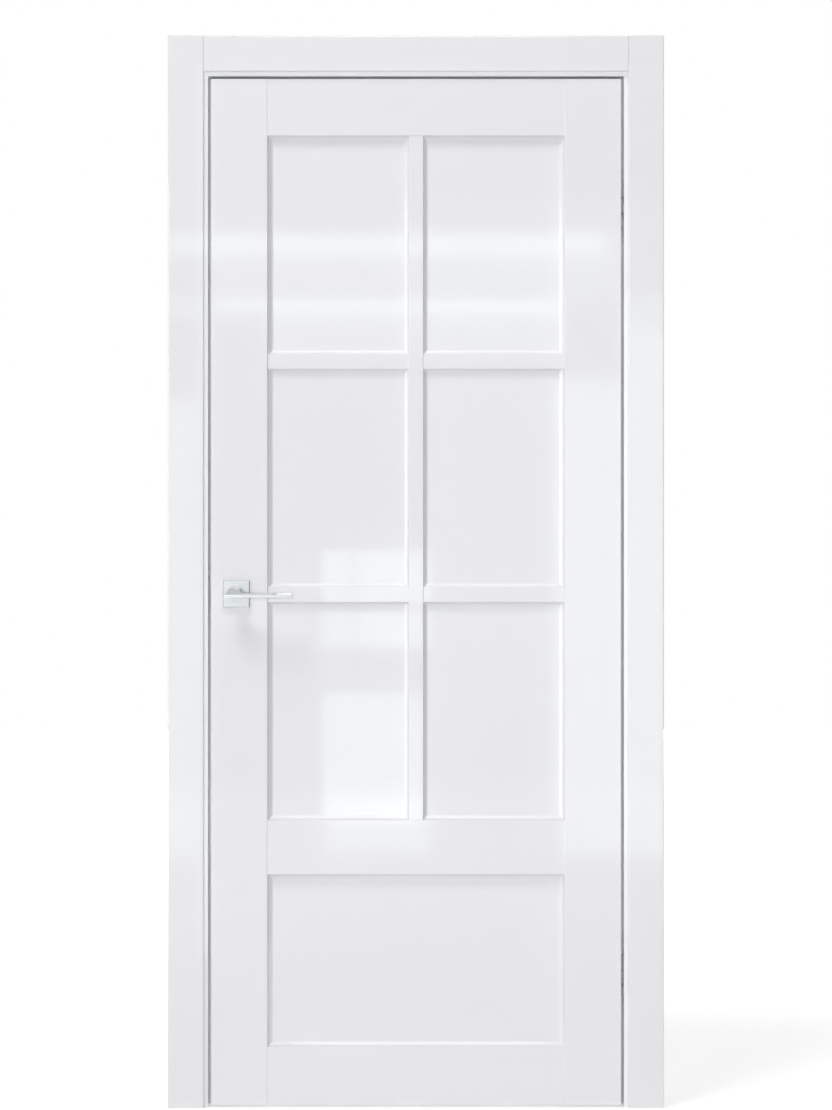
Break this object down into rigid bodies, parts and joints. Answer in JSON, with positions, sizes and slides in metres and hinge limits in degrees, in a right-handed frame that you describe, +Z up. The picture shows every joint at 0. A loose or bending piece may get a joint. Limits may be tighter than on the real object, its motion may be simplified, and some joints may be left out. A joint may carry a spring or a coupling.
{
  "type": "interior door",
  "caption": "Panelled interior door set: a flush leaf with framed panels and muntins, rebated frame, flat casings on both faces, lever handle and concealed hinges.",
  "frame": {"origin": "on the wall side of the hinge jamb, at floor level and mid depth of the frame", "axes": "+Z up, +X from the latch side to the hinge side and out of the hinge jamb into the wall, -Y towards the side that the leaf opens to"},
  "size_m": [0.966, 0.156, 2.088],
  "materials": {
    "leaf_white": "white high gloss lacquer",
    "panel_white": "white high gloss lacquer",
    "frame_white": "white high gloss lacquer",
    "handle_chrome": "polished chrome",
    "hinge_body": "satin",
    "steel": "satin nickel",
    "seal_rubber": "soft white"
  },
  "bodies": {
    "frame": {"hinge_jamb": "frame_white", "latch_jamb": "frame_white", "head_jamb": "frame_white", "front_hinge_casing": "frame_white", "front_latch_casing": "frame_white", "front_head_casing": "frame_white", "rear_hinge_casing": "frame_white", "rear_latch_casing": "frame_white", "rear_head_casing": "frame_white", "hinge_stop": "frame_white", "latch_stop": "frame_white", "head_stop": "frame_white", "frame_seal": "seal_rubber", "strike_plate": "steel", "lower_hinge_frame_half": "hinge_body", "upper_hinge_frame_half": "hinge_body"},
    "leaf": {"lock_stile": "leaf_white", "hinge_stile": "leaf_white", "top_rail": "leaf_white", "mid_rail": "leaf_white", "bottom_rail": "leaf_white", "vertical_muntin": "leaf_white", "lower_left_bar": "leaf_white", "lower_right_bar": "leaf_white", "upper_left_bar": "leaf_white", "upper_right_bar": "leaf_white", "bottom_left_panel": "panel_white", "bottom_right_panel": "panel_white", "middle_left_panel": "panel_white", "middle_right_panel": "panel_white", "top_left_panel": "panel_white", "top_right_panel": "panel_white", "lower_panel": "panel_white", "lock_forend": "steel", "latch_bolt": "steel", "front_rosette": "handle_chrome", "rear_rosette": "handle_chrome", "lower_hinge_leaf_half": "hinge_body", "upper_hinge_leaf_half": "hinge_body"},
    "lever": {"front_lever": "handle_chrome", "rear_lever": "handle_chrome", "spindle": "steel"},
    "hinge_arms": {"lower_hinge_arms": "steel", "upper_hinge_arms": "steel"}
  },
  "joints": [
    {"name": "leaf_swing", "type": "hinge", "parent": "frame", "child": "leaf", "pos_m": [-0.0325, -0.045, 1], "axis": [0, 0, 1], "range_deg": [0, 100]},
    {"name": "arms_swing", "type": "hinge", "parent": "frame", "child": "hinge_arms", "pos_m": [-0.0325, -0.045, 1], "axis": [0, 0, 1], "range_deg": [0, 50]},
    {"name": "lever_turn", "type": "hinge", "parent": "leaf", "child": "lever", "pos_m": [-0.785, -0.04, 1.0015], "axis": [0, 1, 0], "range_deg": [0, 40], "stiffness_Nm_per_rad": 1.5, "springref_deg": -28.65}
  ],
  "couplings": [
    {"joint": "arms_swing", "follows": "leaf_swing", "ratio": 0.5}
  ]
}
